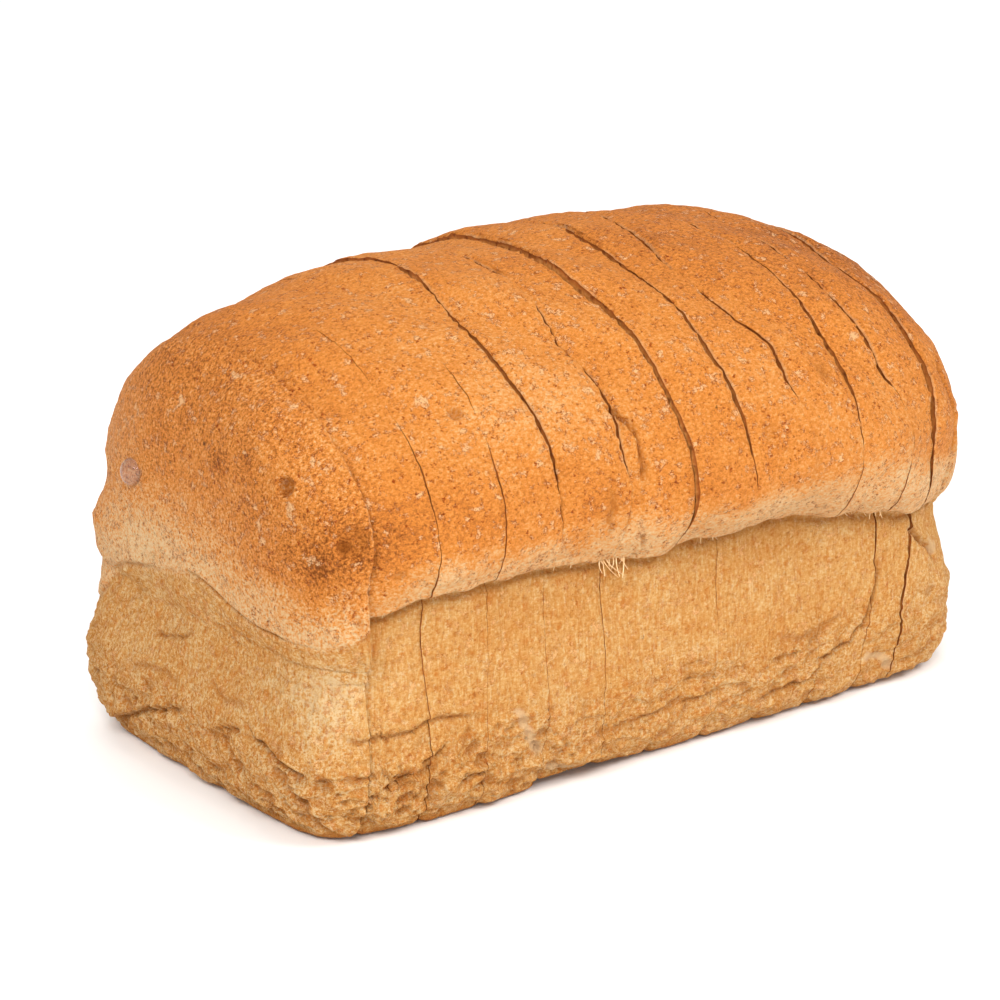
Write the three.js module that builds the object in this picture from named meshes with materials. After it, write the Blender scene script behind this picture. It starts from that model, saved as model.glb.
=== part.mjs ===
// Small wholemeal tin loaf, fully sliced, its slices still standing together in the loaf's own shape.
// Millimetres, +Z up, length along X, the better-seen long side towards -Y, underside on Z = 0.
import * as THREE from "three";
import { mergeVertices } from "three/addons/utils/BufferGeometryUtils.js";

// Slicing: vertical cuts across the loaf, a heel at each end
const sliceCount = 10;
const sliceThickness = 14.5;
const firstCutX = -75.7;
const cutGap = 0.34;

// Lower part, baked against the tin: nearly straight walls, round bottom edges
const tin = {
  endNear: 89.2, // half length towards -X
  endFar: 88.6, // half length towards +X
  halfWidth: 50.6,
  leanNear: 2.2, // how far each wall leans in at the bottom
  leanFar: 0.2,
  leanSide: 2,
  leanHeight: 18,
  edgeRadius: 6,
  waistEnd: 5.2, // how far the walls draw in again below the crown
  waistSide: 1.2,
  waistFrom: 22,
  waistTo: 46,
  waistEndDrop: 6, // the end walls' waist sits this much lower
  planPower: 7.8, // superellipse power of the outline seen from above
  planPowerTop: 7,
  planFrom: 12,
  planTo: 46,
};

// Crown, risen over the tin's rim: a bulging lip below a long dome
const crown = {
  endNear: 87.8,
  endFar: 89.6,
  frontNear: 55.2, // half widths at the widest level
  frontFar: 61.4,
  backNear: 54.3,
  backFar: 58.5,
  swellX: -8, // where the crown swells from the near to the far half width
  swellLength: 18,
  lipHeight: 50.3, // underside of the overhang on the long sides
  lipDip: { depth: 4, length: 9 }, // lower at the near end
  lipSag: { depth: 2, from: -40, length: 70 }, // a little lower from the middle on
  lipFall: { depth: 6, from: 30, length: 45 }, // and falling towards the far end
  endLipHeight: 38, // underside of the overhang on the ends
  widestHeight: 61.5,
  ridgeHeight: 100.4,
  lengthPowerNear: 3.3, // how square the dome is, seen from the side
  lengthPowerFar: 2.75,
  widthPower: 1.87, // how square it is, seen from an end
  risePower: 1.92,
  planNearFront: 6, // outline from above at the widest level
  planNearBack: 3.7,
  planFar: 3.9,
  planRidge: 2.5, // and at the ridge
  planEase: 0.7,
};

// How the slices stand: how much each cut opens at the crown, near to far, and each slice's own stance
const crownOpenings = [0, 0, 0.1, 0.5, 0.1, 0.8, 0.3, 0.2, 0.2, 0.3, 0.8];
const wholeLean = 0.6; // the whole loaf leans this far towards +X at the ridge
const stances = {
  heel_near: { proud: 0.9, shift: -0.7 },
  slice_01: { proud: 0.3, shift: -0.5 },
  slice_02: { proud: 0.4, shift: -0.6 },
  slice_03: { proud: 0.3, shift: -0.7 },
  slice_04: { proud: 0.9, shift: 0.1 },
  slice_05: { proud: 0.3, shift: 0.2 },
  slice_06: { proud: 1.9, shift: 0 },
  slice_07: { proud: 1.6, shift: -0.1 },
  slice_08: { proud: 1.5, shift: 0.2 },
  slice_09: { proud: 1.3, shift: -0.3 },
  slice_10: { proud: 1.2, shift: -0.6 },
  heel_far: { proud: -0.9, shift: -1 },
};
const proudFade = 14; // height over which a slice's stance fades in above the lip

// How far each cut wanders along X where it crosses the front of the crown, near to far
const cutBows = [1, 0.3, -0.8, -0.8, 1, -1.6, -0.8, -4.4, -1.2, -3, -2];
const bowAngle = THREE.MathUtils.degToRad(115);
const bowSpan = THREE.MathUtils.degToRad(62);

// Gentle unevenness of the baked surface: wave length and depth
const waves = [
  { length: 47, depth: 0.55, lag: 0.7 },
  { length: 23, depth: 0.35, lag: 2.1 },
];

// Facets
const aroundSteps = 76;
const bandSteps = 3;
const heelSteps = 13;
const heelPoleShare = 0.1;

// Centre that every cross-section is star-shaped about, and the origin's place in that frame
const hubHeight = 60;
const farReach = 200;
const originShift = { x: -0.92, y: 1.26 };

const clamp01 = (t) => Math.min(Math.max(t, 0), 1);
const blend = (a, b, t) => a + (b - a) * t;
const smooth = (t) => clamp01(t) ** 2 * (3 - 2 * clamp01(t));

// Half size of the tin-shaped part at a height
function tinHalf(half, z, lean, waist, waistDrop) {
  const belowEdge = Math.max(tin.edgeRadius - z, 0);
  const edge = tin.edgeRadius - Math.sqrt(Math.max(tin.edgeRadius ** 2 - belowEdge ** 2, 0));
  const leanIn = lean * (1 - smooth(z / tin.leanHeight));
  const drawIn = waist * smooth((z + waistDrop - tin.waistFrom) / (tin.waistTo - tin.waistFrom));
  return half - leanIn - edge - drawIn;
}

// Height of the lip's underside along the long sides
function lipAt(x) {
  const { lipDip, lipSag, lipFall } = crown;
  const dip = lipDip.depth * (1 - smooth((x - firstCutX) / lipDip.length));
  const sag = lipSag.depth * smooth((x - lipSag.from) / lipSag.length);
  return crown.lipHeight - dip - sag - lipFall.depth * smooth((x - lipFall.from) / lipFall.length);
}

// Half width of the crown at its widest level
function crownHalfWidth(x, y) {
  const swell = (1 + Math.tanh((x - crown.swellX) / crown.swellLength)) / 2;
  return y < 0 ? blend(crown.frontNear, crown.frontFar, swell) : blend(crown.backNear, crown.backFar, swell);
}

// Round curl from a lip's underside up to the crown's widest level
function curlFrom(lip, z) {
  return Math.sqrt(1 - clamp01((crown.widestHeight - z) / (crown.widestHeight - lip)) ** 2);
}

// Whether a point lies in the whole, uncut loaf
function inLoaf(x, y, z) {
  if (z < 0 || z >= crown.ridgeHeight) return false;
  const near = x < 0;
  const crownEnd = near ? crown.endNear : crown.endFar;
  const nearPlan = y < 0 ? crown.planNearFront : crown.planNearBack;
  const crownPlan = near ? nearPlan : crown.planFar;
  let halfLength = 0;
  let halfWidth = 0;
  let power = 0;
  if (z > crown.widestHeight) {
    const rise = (z - crown.widestHeight) / (crown.ridgeHeight - crown.widestHeight);
    const lengthPower = near ? crown.lengthPowerNear : crown.lengthPowerFar;
    halfLength = crownEnd * (1 - rise ** lengthPower) ** (1 / lengthPower);
    halfWidth = crownHalfWidth(x, y) * (1 - rise ** crown.risePower) ** (1 / crown.widthPower);
    power = blend(crownPlan, crown.planRidge, rise ** crown.planEase);
  } else {
    const tinEnd = near ? tin.endNear : tin.endFar;
    const wallLength = tinHalf(tinEnd, z, near ? tin.leanNear : tin.leanFar, tin.waistEnd, tin.waistEndDrop);
    const wallWidth = tinHalf(tin.halfWidth, z, tin.leanSide, tin.waistSide, 0);
    const planTurn = smooth((z - tin.planFrom) / (tin.planTo - tin.planFrom));
    const sideCurl = curlFrom(lipAt(x), z);
    halfLength = blend(wallLength, crownEnd, curlFrom(crown.endLipHeight, z));
    halfWidth = blend(wallWidth, crownHalfWidth(x, y), sideCurl);
    power = blend(blend(tin.planPower, tin.planPowerTop, planTurn), crownPlan, sideCurl);
  }
  return (Math.abs(x) / halfLength) ** power + (Math.abs(y) / halfWidth) ** power < 1;
}

// Distance along a ray from inside the loaf to its surface
function reach(start, ray) {
  let inside = 0;
  let outside = farReach;
  for (let step = 0; step < 34; step += 1) {
    const middle = (inside + outside) / 2;
    const at = start.map((value, axis) => value + ray[axis] * middle);
    if (inLoaf(...at)) inside = middle;
    else outside = middle;
  }
  return inside;
}

// Evenly walked share of a polyline's length, where bends count as extra length
function evenWalk(points, count, bendLength) {
  const run = [0];
  for (let i = 1; i < points.length; i += 1) {
    const step = points[i].clone().sub(points[i - 1]);
    const before = i > 1 ? points[i - 1].clone().sub(points[i - 2]) : step;
    const turn = step.length() > 0 && before.length() > 0 ? step.angleTo(before) : 0;
    run.push(run[i - 1] + step.length() + bendLength * Math.abs(turn));
  }
  const total = run[run.length - 1];
  const places = [];
  let i = 1;
  for (let k = 0; k <= count; k += 1) {
    const wanted = (total * k) / count;
    while (i < run.length - 1 && run[i] < wanted) i += 1;
    places.push(i - 1 + clamp01((wanted - run[i - 1]) / Math.max(run[i] - run[i - 1], 1e-9)));
  }
  return places;
}

// Angles round the hub, set closer where the middle cross-section bends; they start straight down
const startAngle = -Math.PI / 2;
function sectionAngles() {
  const fine = 1440;
  const outline = [];
  for (let i = 0; i <= fine; i += 1) {
    const angle = startAngle + (2 * Math.PI * i) / fine;
    const ray = [0, Math.cos(angle), Math.sin(angle)];
    const r = reach([0, 0, hubHeight], ray);
    outline.push(new THREE.Vector2(r * ray[1], r * ray[2]));
  }
  const places = evenWalk(outline, aroundSteps, 7);
  return places.map((place) => startAngle + (2 * Math.PI * place) / fine);
}
const angles = sectionAngles();

// Point of the crust on one cross-section
function crustPoint(x, angle) {
  const ray = [0, Math.cos(angle), Math.sin(angle)];
  const r = reach([x, 0, hubHeight], ray);
  return new THREE.Vector3(x, r * ray[1], hubHeight + r * ray[2]);
}

// How much of a cut's bow shows at an angle round the hub
function bowAt(angle) {
  const away = Math.abs(THREE.MathUtils.euclideanModulo(angle - bowAngle + Math.PI, 2 * Math.PI) - Math.PI);
  return away < bowSpan ? Math.cos((away / bowSpan) * (Math.PI / 2)) ** 2 : 0;
}

// Crust of a heel in one half-plane through the hub line, from the cut round the corner to the end's middle
function heelProfile(cutX, towards, angle) {
  const across = new THREE.Vector3(0, Math.cos(angle), Math.sin(angle));
  const rim = crustPoint(cutX, angle);
  const depth = (towards < 0 ? tin.endNear : tin.endFar) - Math.abs(cutX);
  const rimReach = Math.hypot(rim.y, rim.z - hubHeight);
  const start = new THREE.Vector3(cutX, 0, hubHeight).addScaledVector(across, rimReach - depth);
  const lowest = -Math.atan2(rimReach - depth, depth);
  const fine = 160;
  const points = [];
  for (let i = 0; i <= fine; i += 1) {
    const tilt = blend(Math.PI / 2, lowest, i / fine);
    const ray = new THREE.Vector3(towards * Math.cos(tilt), 0, 0).addScaledVector(across, Math.sin(tilt));
    points.push(start.clone().addScaledVector(ray, reach(start.toArray(), ray.toArray())));
  }
  return evenWalk(points, heelSteps, 2).map((place) => {
    const i = Math.min(Math.floor(place), fine - 1);
    return points[i].clone().lerp(points[i + 1], place - i);
  });
}

// A slice's own stance: unevenness, crown standing proud, sideways shift, and lean from the openings
function settle(point, stance, lean) {
  const above = smooth((point.z - crown.lipHeight) / proudFade);
  const out = new THREE.Vector3(0, point.y, point.z - hubHeight).normalize();
  const offFloor = smooth(point.z / tin.edgeRadius);
  let swell = stance.proud * above;
  for (const wave of waves) {
    const phase = (2 * Math.PI * (point.x + 0.6 * point.y + 0.8 * point.z)) / wave.length + wave.lag;
    swell += wave.depth * Math.sin(phase) * offFloor;
  }
  point.addScaledVector(out, swell);
  point.y += stance.shift;
  point.x += lean * point.z;
  return point.add(new THREE.Vector3(originShift.x, originShift.y, 0));
}

// Closed mesh from a cylinder whose rings are moved on to the crust
function loftedPiece(ringCount, placeVertex) {
  const shape = new THREE.CylinderGeometry(1, 1, 1, aroundSteps, ringCount);
  shape.deleteAttribute("normal");
  shape.deleteAttribute("uv");
  const merged = mergeVertices(shape, 1e-5);
  const position = merged.getAttribute("position");
  for (let i = 0; i < position.count; i += 1) {
    const [px, py, pz] = [position.getX(i), position.getY(i), position.getZ(i)];
    const onAxis = Math.hypot(px, pz) < 0.5;
    const turn = (Math.atan2(px, pz) + 2 * Math.PI) % (2 * Math.PI);
    const station = Math.round((turn / (2 * Math.PI)) * aroundSteps) % aroundSteps;
    const ring = Math.round((py + 0.5) * ringCount);
    const placed = placeVertex(ring, station, onAxis);
    position.setXYZ(i, placed.x, placed.y, placed.z);
  }
  merged.computeVertexNormals();
  return merged;
}

// Materials: baked crust, browner on the heels
const heelColour = 0xb8763a;
const sliceColour = 0xc98a4b;

function pieceMesh(name, geometry, colour) {
  const mesh = new THREE.Mesh(geometry, new THREE.MeshStandardMaterial({ color: colour, roughness: 0.75 }));
  mesh.name = name;
  return mesh;
}

// Lean of the piece after a number of cuts, so that the openings add up evenly about the middle
const sum = (values) => values.reduce((total, value) => total + value, 0);
function leanAfter(cut) {
  const opened = sum(crownOpenings.slice(0, cut)) - sum(crownOpenings) / 2;
  return (opened + wholeLean) / crown.ridgeHeight;
}

const cutAt = (cut, angle) => firstCutX + sliceThickness * cut + cutBows[cut] * bowAt(angle);

// Middle of a cut face or of a heel's end, leaned and moved like the rest of its piece
function hubPoint(x, lean) {
  return new THREE.Vector3(x + lean * hubHeight + originShift.x, originShift.y, hubHeight);
}

function sliceMesh(number) {
  const name = `slice_${String(number).padStart(2, "0")}`;
  const lean = leanAfter(number);
  const geometry = loftedPiece(bandSteps, (ring, station, onAxis) => {
    const angle = onAxis ? startAngle : angles[station];
    const from = cutAt(number - 1, angle) + cutGap / 2;
    const to = cutAt(number, angle) - cutGap / 2;
    const x = blend(from, to, ring / bandSteps);
    return onAxis ? hubPoint(x, lean) : settle(crustPoint(x, angle), stances[name], lean);
  });
  return pieceMesh(name, geometry, sliceColour);
}

function heelMesh(name, cut, towards, lean) {
  const cutX = (angle) => cutAt(cut, angle) + (towards * cutGap) / 2;
  const profiles = angles.slice(0, aroundSteps).map((angle) => heelProfile(cutX(angle), towards, angle));
  const middle = cutX(startAngle);
  const end = middle + towards * reach([middle, 0, hubHeight], [towards, 0, 0]);
  const geometry = loftedPiece(heelSteps, (ring, station, onAxis) => {
    const step = towards > 0 ? ring : heelSteps - ring;
    if (onAxis) return hubPoint(step === 0 ? middle : end, lean);
    const share = step * (1 - heelPoleShare);
    const i = Math.min(Math.floor(share), heelSteps - 1);
    const point = profiles[station][i].clone().lerp(profiles[station][i + 1], share - i);
    return settle(point, stances[name], lean);
  });
  return pieceMesh(name, geometry, heelColour);
}

const loaf = new THREE.Group();
loaf.add(heelMesh("heel_near", 0, -1, leanAfter(0)));
for (let number = 1; number <= sliceCount; number += 1) loaf.add(sliceMesh(number));
loaf.add(heelMesh("heel_far", sliceCount, 1, leanAfter(sliceCount + 1)));

export default loaf;
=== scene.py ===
import math

import bpy
import numpy as np
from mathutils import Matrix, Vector


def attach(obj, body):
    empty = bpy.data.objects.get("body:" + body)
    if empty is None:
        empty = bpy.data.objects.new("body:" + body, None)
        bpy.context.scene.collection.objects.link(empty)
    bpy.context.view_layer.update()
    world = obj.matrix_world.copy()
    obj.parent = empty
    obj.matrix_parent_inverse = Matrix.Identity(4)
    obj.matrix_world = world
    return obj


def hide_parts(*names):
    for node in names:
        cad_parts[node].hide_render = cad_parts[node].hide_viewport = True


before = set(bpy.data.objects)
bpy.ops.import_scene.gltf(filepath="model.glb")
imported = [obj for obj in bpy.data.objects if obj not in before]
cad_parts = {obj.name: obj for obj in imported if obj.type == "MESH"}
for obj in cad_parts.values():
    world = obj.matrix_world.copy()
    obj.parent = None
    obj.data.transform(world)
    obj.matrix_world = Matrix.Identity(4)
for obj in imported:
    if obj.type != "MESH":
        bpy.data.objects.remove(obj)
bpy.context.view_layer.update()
print("frame loaded")

# Everything below is worked out in millimetres and turned to metres as a mesh is made
mm = 0.001
tiny = 1e-9

# The baked loaf before it was cut: the same walls and crown as the solids
tin = {
    "endNear": 89.2, "endFar": 88.6, "halfWidth": 50.6, "leanNear": 2.2, "leanFar": 0.2, "leanSide": 2.0,
    "leanHeight": 18, "edgeRadius": 6, "waistEnd": 5.2, "waistSide": 1.2, "waistFrom": 22, "waistTo": 46,
    "waistEndDrop": 6, "planPower": 7.8, "planPowerTop": 7, "planFrom": 12, "planTo": 46,
}
crown = {
    "endNear": 87.8, "endFar": 89.6, "frontNear": 55.2, "frontFar": 61.4, "backNear": 54.3, "backFar": 58.5,
    "swellX": -8, "swellLength": 18, "widest": 61.5, "ridge": 100.4, "endLip": 38, "lengthPowerNear": 3.3,
    "lengthPowerFar": 2.75, "widthPower": 1.87, "risePower": 1.92, "planNearFront": 6, "planNearBack": 3.7,
    "planFar": 3.9, "planRidge": 2.5, "planEase": 0.7, "lip": 50.0,
}
# Underside of the crown's lip along the front, and along the back: x, height
lipLine = {
    "front": [(-90, 45.5), (-80, 46.1), (-73, 48.3), (-68, 49.6), (-65.5, 51.0), (-62, 51.6), (-52, 51.4),
              (-37, 51.1), (-22, 49.0), (-11.5, 48.4), (-6, 47.5), (-3.5, 49.1), (7, 48.4), (23.5, 48.6),
              (29, 48.3), (40, 46.6), (46, 45.7), (50.5, 44.2), (55, 43.5), (62, 41.2), (75, 41.0), (90, 42)],
    "back": [(-90, 46), (-70, 49.5), (-40, 50.4), (-15, 49.2), (5, 49.6), (30, 48.0), (55, 45.0), (90, 42.5)],
    "ragged": 0.5, "grain": 5, "backLag": 50.0, "nearCorner": 35,
}
# Faint ledge across the two ends: y, height
endLedge = {
    "near": [(-50, 45.5), (-43, 43.2), (-34, 42.6), (-26.7, 42.6), (-16, 43.8), (-8, 47.4), (-2.8, 48.6),
             (7, 46.4), (17, 43.6), (25, 41.5), (31, 38.5), (36, 33), (41, 28.5), (50, 27)],
    "far": [(-50, 43), (-20, 46), (10, 44), (50, 42)],
}
slicing = {
    "count": 10, "thickness": 14.5, "firstCut": -75.7, "hubHeight": 60, "proudFade": 14, "proudFrom": 50.3,
    "wholeLean": 0.6, "originShift": (-0.92, 1.26), "arcRadius": 55, "softFor": 10,
    "openings": [0, 0, 0.1, 0.5, 0.1, 0.8, 0.3, 0.2, 0.2, 0.3, 0.8],
    "waves": [(47, 0.55, 0.7), (23, 0.35, 2.1)],
}
# How each piece stands: name, how proud its crown is, its shift sideways at the crown and at the walls,
# and how much more its far side stands up
stances = [
    ("heel_near", 1.1, -0.7, -1.0, 0.1), ("slice_01", -0.5, -0.5, 0.2, 0.9),
    ("slice_02", 0.4, -0.6, -0.1, 0.0), ("slice_03", 0.4, -0.7, -0.2, -0.1),
    ("slice_04", 0.9, 0.1, -0.28, -0.2), ("slice_05", 0.4, 0.2, -0.35, 0.4),
    ("slice_06", 1.8, 0.0, -0.3, -0.2), ("slice_07", 1.6, -0.1, -0.36, 0.0),
    ("slice_08", 1.5, 0.2, -0.3, -0.1), ("slice_09", 1.3, -0.3, -0.36, 0.1),
    ("slice_10", 1.2, -0.6, -0.5, -1.3), ("heel_far", 0.5, -1.0, -0.6, -1.6),
]
# Each cut, near to far, by its angle in degrees round the hub line, 90 at the ridge and 190 at the front lip:
# how far its line wanders along the loaf, and how wide its crust stands open, in mm
cuts = [
    {"path": [(76, 0.6), (110, 0.8), (157, 1.2), (169, 0.7), (185, -0.4), (208, 0.3), (225, -1.2), (270, 0)],
     "open": [(90, 0.05), (115, 0.1), (150, 0.2), (172, 0.4), (186, 0.45), (200, 0.25), (215, 0.06)]},
    {"path": [(90, 0.3), (130, 0.3), (150, 0.2), (168, -0.9), (184, -1.6), (210, -1.1), (270, 0)],
     "open": [(90, 0.0), (120, 0.0), (150, 0.03), (178, 0.1), (190, 0.06), (200, 0)]},
    {"path": [(90, 1.0), (135, 1.6), (160, 1.0), (177, -0.5), (204, -1.0), (225, -1.4), (270, 0)],
     "open": [(90, 0.0), (120, 0.0), (150, 0.03), (178, 0.08), (190, 0.02), (200, 0)]},
    {"path": [(73, 1.8), (101, -0.2), (121, -1.9), (139, -2.5), (161, -0.9), (178, -0.8), (200, -1.3),
              (223, -1.0), (270, 0)],
     "open": [(60, 0.1), (85, 0.2), (104, 0.45), (112, 0.3), (125, 0.5), (150, 0.55), (172, 0.55), (182, 0.2),
              (196, 0.06), (215, 0.0)]},
    {"path": [(80, 2.2), (109, 2.4), (122, 1.4), (139, -0.5), (146, 0.9), (158, 1.7), (170, 0.3), (200, -0.6),
              (220, -0.8), (270, 0)],
     "open": [(80, 0.25), (98, 0.6), (104, 1.1), (110, 0.4), (125, 0.34), (140, 0.5), (150, 0.8), (160, 0.7),
              (168, 0.4), (176, 0.15), (186, 0.05)]},
    {"path": [(70, 0.4), (85, -0.1), (106, -1.6), (118, -1.8), (130, -0.3), (156, 0.5), (173, 0.3), (198, 0),
              (270, 0)],
     "open": [(60, 0.6), (80, 1.4), (96, 1.5), (105, 0.9), (113, 0.35), (126, 0.45), (142, 0.5), (155, 0.3),
              (168, 0.25), (180, 0.14), (190, 0.0), (200, 0.0)]},
    {"path": [(75, 0.8), (95, -1.2), (117, -0.7), (140, -0.4), (151, -1.0), (166, 0), (270, 0)],
     "open": [(60, 0.6), (85, 1.15), (98, 1.0), (112, 0.55), (125, 0.4), (140, 0.55), (152, 0.75),
              (162, 0.5), (172, 0.15), (185, 0.0)]},
    {"path": [(70, 0.5), (84, -1.2), (101, -4.2), (118, -6.6), (130, -5.5), (144, -3.4), (152, 0.2),
              (160, -0.5), (171, 0.8), (190, 0.2), (270, 0)],
     "open": [(60, 0.3), (84, 0.5), (97, 0.8), (106, 1.1), (118, 0.8), (130, 0.45), (138, 0.7), (147, 0.5),
              (155, 1.15), (160, 0.8), (163, 0.2), (166, -0.1)]},
    {"path": [(75, 0.4), (90, -0.6), (105, -1.5), (117, 0.5), (145, 0.8), (156, 1.1), (173, 0.2), (200, 0),
              (270, 0)],
     "open": [(60, 0.4), (85, 0.85), (100, 0.7), (112, 0.35), (130, 0.3), (145, 0.35), (154, 0.6),
              (166, 0.45), (176, 0.08), (180, -0.1)]},
    {"path": [(75, -1), (95, -4.5), (107, -5.6), (126, -5.8), (138, -4.2), (152, -3.1), (162, -2.2),
              (170, 0.4), (176, 2.2), (186, 1.6), (205, 1.6), (214, 0.6), (222, -0.6), (240, -1), (270, 0)],
     "open": [(60, 0.1), (100, 0.12), (120, 0.35), (143, 0.45), (149, 1.0), (158, 1.1), (164, 0.7),
              (168, 0.15), (170, -0.1), (192, 0.0), (200, 0.2), (212, 0.2), (220, 0.06), (230, 0)]},
    {"path": [(60, -1), (100, -3.4), (121, -4.2), (139, -3.2), (153, -2.0), (165, -1.8), (175, -3.2),
              (188, -3.6), (200, -1.4), (206, -1.6), (212, -3.5), (219, -5.4), (228, -5.8), (245, -4.5),
              (270, -3)],
     "open": [(60, 0.6), (95, 1.3), (120, 1.5), (136, 1.0), (146, 1.6), (165, 1.7), (176, 1.0), (184, 0.5),
              (196, 0.5), (206, 0.6), (218, 0.6), (228, 0.3), (240, 0.05)]},
]


def smooth(t):
    t = np.clip(t, 0, 1)
    return t * t * (3 - 2 * t)


def blend(a, b, t):
    return a + (b - a) * t


def hashed(cell, seed):
    # One even random number per lattice cell, the same on every run
    h = cell[..., 0] * 374761393 + cell[..., 1] * 668265263 + cell[..., 2] * 1442695041 + seed * 974634777
    h = h & 0xFFFFFFFF
    h = ((h ^ (h >> 13)) * 1274126177) & 0xFFFFFFFF
    h = ((h ^ (h >> 16)) * 2246822519) & 0xFFFFFFFF
    return (h ^ (h >> 15)) / 4294967295.0


def noise(p, size, seed, octaves=1):
    # Smooth noise from about -1 to 1, with its grain in mm along each axis
    total = np.zeros(len(p))
    weight = 1.0
    for octave in range(octaves):
        q = p / np.asarray(size, float) * 2 ** octave + seed * 3.17
        cell = np.floor(q).astype(np.int64)
        f = q - cell
        f = f * f * (3 - 2 * f)
        value = 0
        for corner in np.ndindex(2, 2, 2):
            share = np.prod(np.where(corner, f, 1 - f), axis=1)
            value = value + share * hashed(cell + np.array(corner), seed + octave)
        total += weight * (value * 2 - 1)
        weight *= 0.5
    return total


def cells(p, size, seed):
    # Distance to the nearest scattered point in cell widths, and that point's own random number
    q = p / np.asarray(size, float)
    base = np.floor(q).astype(np.int64)
    nearest = np.full(len(p), 9.0)
    pick = np.zeros(len(p))
    for step in np.ndindex(3, 3, 3):
        cell = base + np.array(step) - 1
        spot = cell + np.stack([hashed(cell, seed + i) for i in range(3)], -1)
        d = np.linalg.norm(spot - q, axis=1)
        closer = d < nearest
        nearest[closer] = d[closer]
        pick[closer] = hashed(cell[closer], seed + 7)
    return nearest, pick


def along(points, path):
    # Distance of 2-D points from a polyline, signed: positive above it, and the share of its length
    path = np.asarray(path, float)
    best = np.full(len(points), 1e9)
    sign = np.ones(len(points))
    share = np.zeros(len(points))
    for i in range(len(path) - 1):
        a, ab = path[i], path[i + 1] - path[i]
        t = np.clip(((points - a) @ ab) / (ab @ ab), 0, 1)
        off = points - (a + t[:, None] * ab)
        d = np.hypot(off[:, 0], off[:, 1])
        closer = d < best
        best[closer] = d[closer]
        sign[closer] = np.sign(off[closer, 1] + 1e-9)
        share[closer] = (i + t[closer]) / (len(path) - 1)
    return best, sign, share


def tinHalf(half, z, lean, waist, drop):
    below = np.maximum(tin["edgeRadius"] - z, 0)
    edge = tin["edgeRadius"] - np.sqrt(np.maximum(tin["edgeRadius"] ** 2 - below ** 2, 0))
    drawIn = waist * smooth((z + drop - tin["waistFrom"]) / (tin["waistTo"] - tin["waistFrom"]))
    return half - lean * (1 - smooth(z / tin["leanHeight"])) - edge - drawIn


def lipAt(x, y):
    x, y = np.broadcast_arrays(x, y)
    front = np.interp(x, *zip(*lipLine["front"]))
    back = np.interp(x, *zip(*lipLine["back"]))
    side = y < 0
    line = np.stack([x.ravel(), np.where(side, 0.0, lipLine["backLag"]).ravel(), np.zeros(x.size)], -1)
    ragged = noise(line, lipLine["grain"], 11, 3).reshape(x.shape)
    return np.where(side, front, back) + lipLine["ragged"] * ragged


def insideLoaf(x, y, z, lip):
    # The same test as the solids' own, with the lip's height given for each point
    near = x < 0
    crownEnd = np.where(near, crown["endNear"], crown["endFar"])
    swell = (1 + np.tanh((x - crown["swellX"]) / crown["swellLength"])) / 2
    crownHalf = np.where(y < 0, blend(crown["frontNear"], crown["frontFar"], swell),
                         blend(crown["backNear"], crown["backFar"], swell))
    nearPlan = np.where(y < 0, crown["planNearFront"], crown["planNearBack"])
    crownPlan = np.where(near, nearPlan, crown["planFar"])
    rise = np.clip((z - crown["widest"]) / (crown["ridge"] - crown["widest"]), 0, 1)
    lengthPower = np.where(near, crown["lengthPowerNear"], crown["lengthPowerFar"])
    upLength = crownEnd * (1 - rise ** lengthPower) ** (1 / lengthPower)
    upWidth = crownHalf * (1 - rise ** crown["risePower"]) ** (1 / crown["widthPower"])
    upPower = blend(crownPlan, crown["planRidge"], rise ** crown["planEase"])
    lean = np.where(near, tin["leanNear"], tin["leanFar"])
    wallLength = tinHalf(np.where(near, tin["endNear"], tin["endFar"]), z, lean, tin["waistEnd"],
                         tin["waistEndDrop"])
    wallWidth = tinHalf(tin["halfWidth"], z, tin["leanSide"], tin["waistSide"], 0)
    curl = np.sqrt(1 - np.clip((crown["widest"] - z) / (crown["widest"] - lip), 0, 1) ** 2)
    curlEnd = np.sqrt(1 - np.clip((crown["widest"] - z) / (crown["widest"] - crown["endLip"]), 0, 1) ** 2)
    planTurn = smooth((z - tin["planFrom"]) / (tin["planTo"] - tin["planFrom"]))
    downPower = blend(blend(tin["planPower"], tin["planPowerTop"], planTurn), crownPlan, curl)
    top = z > crown["widest"]
    length = np.where(top, upLength, blend(wallLength, crownEnd, curlEnd))
    width = np.where(top, upWidth, blend(wallWidth, crownHalf, curl))
    power = np.where(top, upPower, downPower)
    lengthwise = (np.abs(x) / np.maximum(length, tiny)) ** power
    sideways = (np.abs(y) / np.maximum(width, tiny)) ** power
    return (z >= 0) & (z < crown["ridge"]) & (lengthwise + sideways < 1)


def reach(start, ray, lip, far=200.0, steps=19):
    # Distance along rays from inside the loaf to its crust
    shape = np.broadcast(start[0], ray[0], lip).shape
    inside, outside = np.zeros(shape), np.full(shape, far)
    for step in range(steps):
        middle = (inside + outside) / 2
        hit = insideLoaf(*(start[i] + ray[i] * middle for i in range(3)), lip)
        inside, outside = np.where(hit, middle, inside), np.where(hit, outside, middle)
    return inside


def roundHub(angle, line, behind):
    # Value by angle from a list of (degrees, value), easing to the value behind the loaf
    degrees = np.degrees(angle) % 360
    spots = [(-40, behind), (20, behind)] + list(line) + [(285, line[-1][1]), (320, behind), (380, behind)]
    return np.interp(degrees, *zip(*spots))


def wander(cut, angle):
    # Where a cut crosses the crust: its bow and the blade's small unevenness, the same for both its faces
    arc = np.stack([angle * slicing["arcRadius"], np.full_like(angle, cut * 31.0), 0 * angle], -1)
    uneven = 0.14 * noise(arc, 9, 21, 2) + 0.13 * noise(arc, 1.6, 23, 2)
    return roundHub(angle, cuts[cut]["path"], 0) + uneven


def cutPlane(cut):
    return slicing["firstCut"] + slicing["thickness"] * cut


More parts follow.
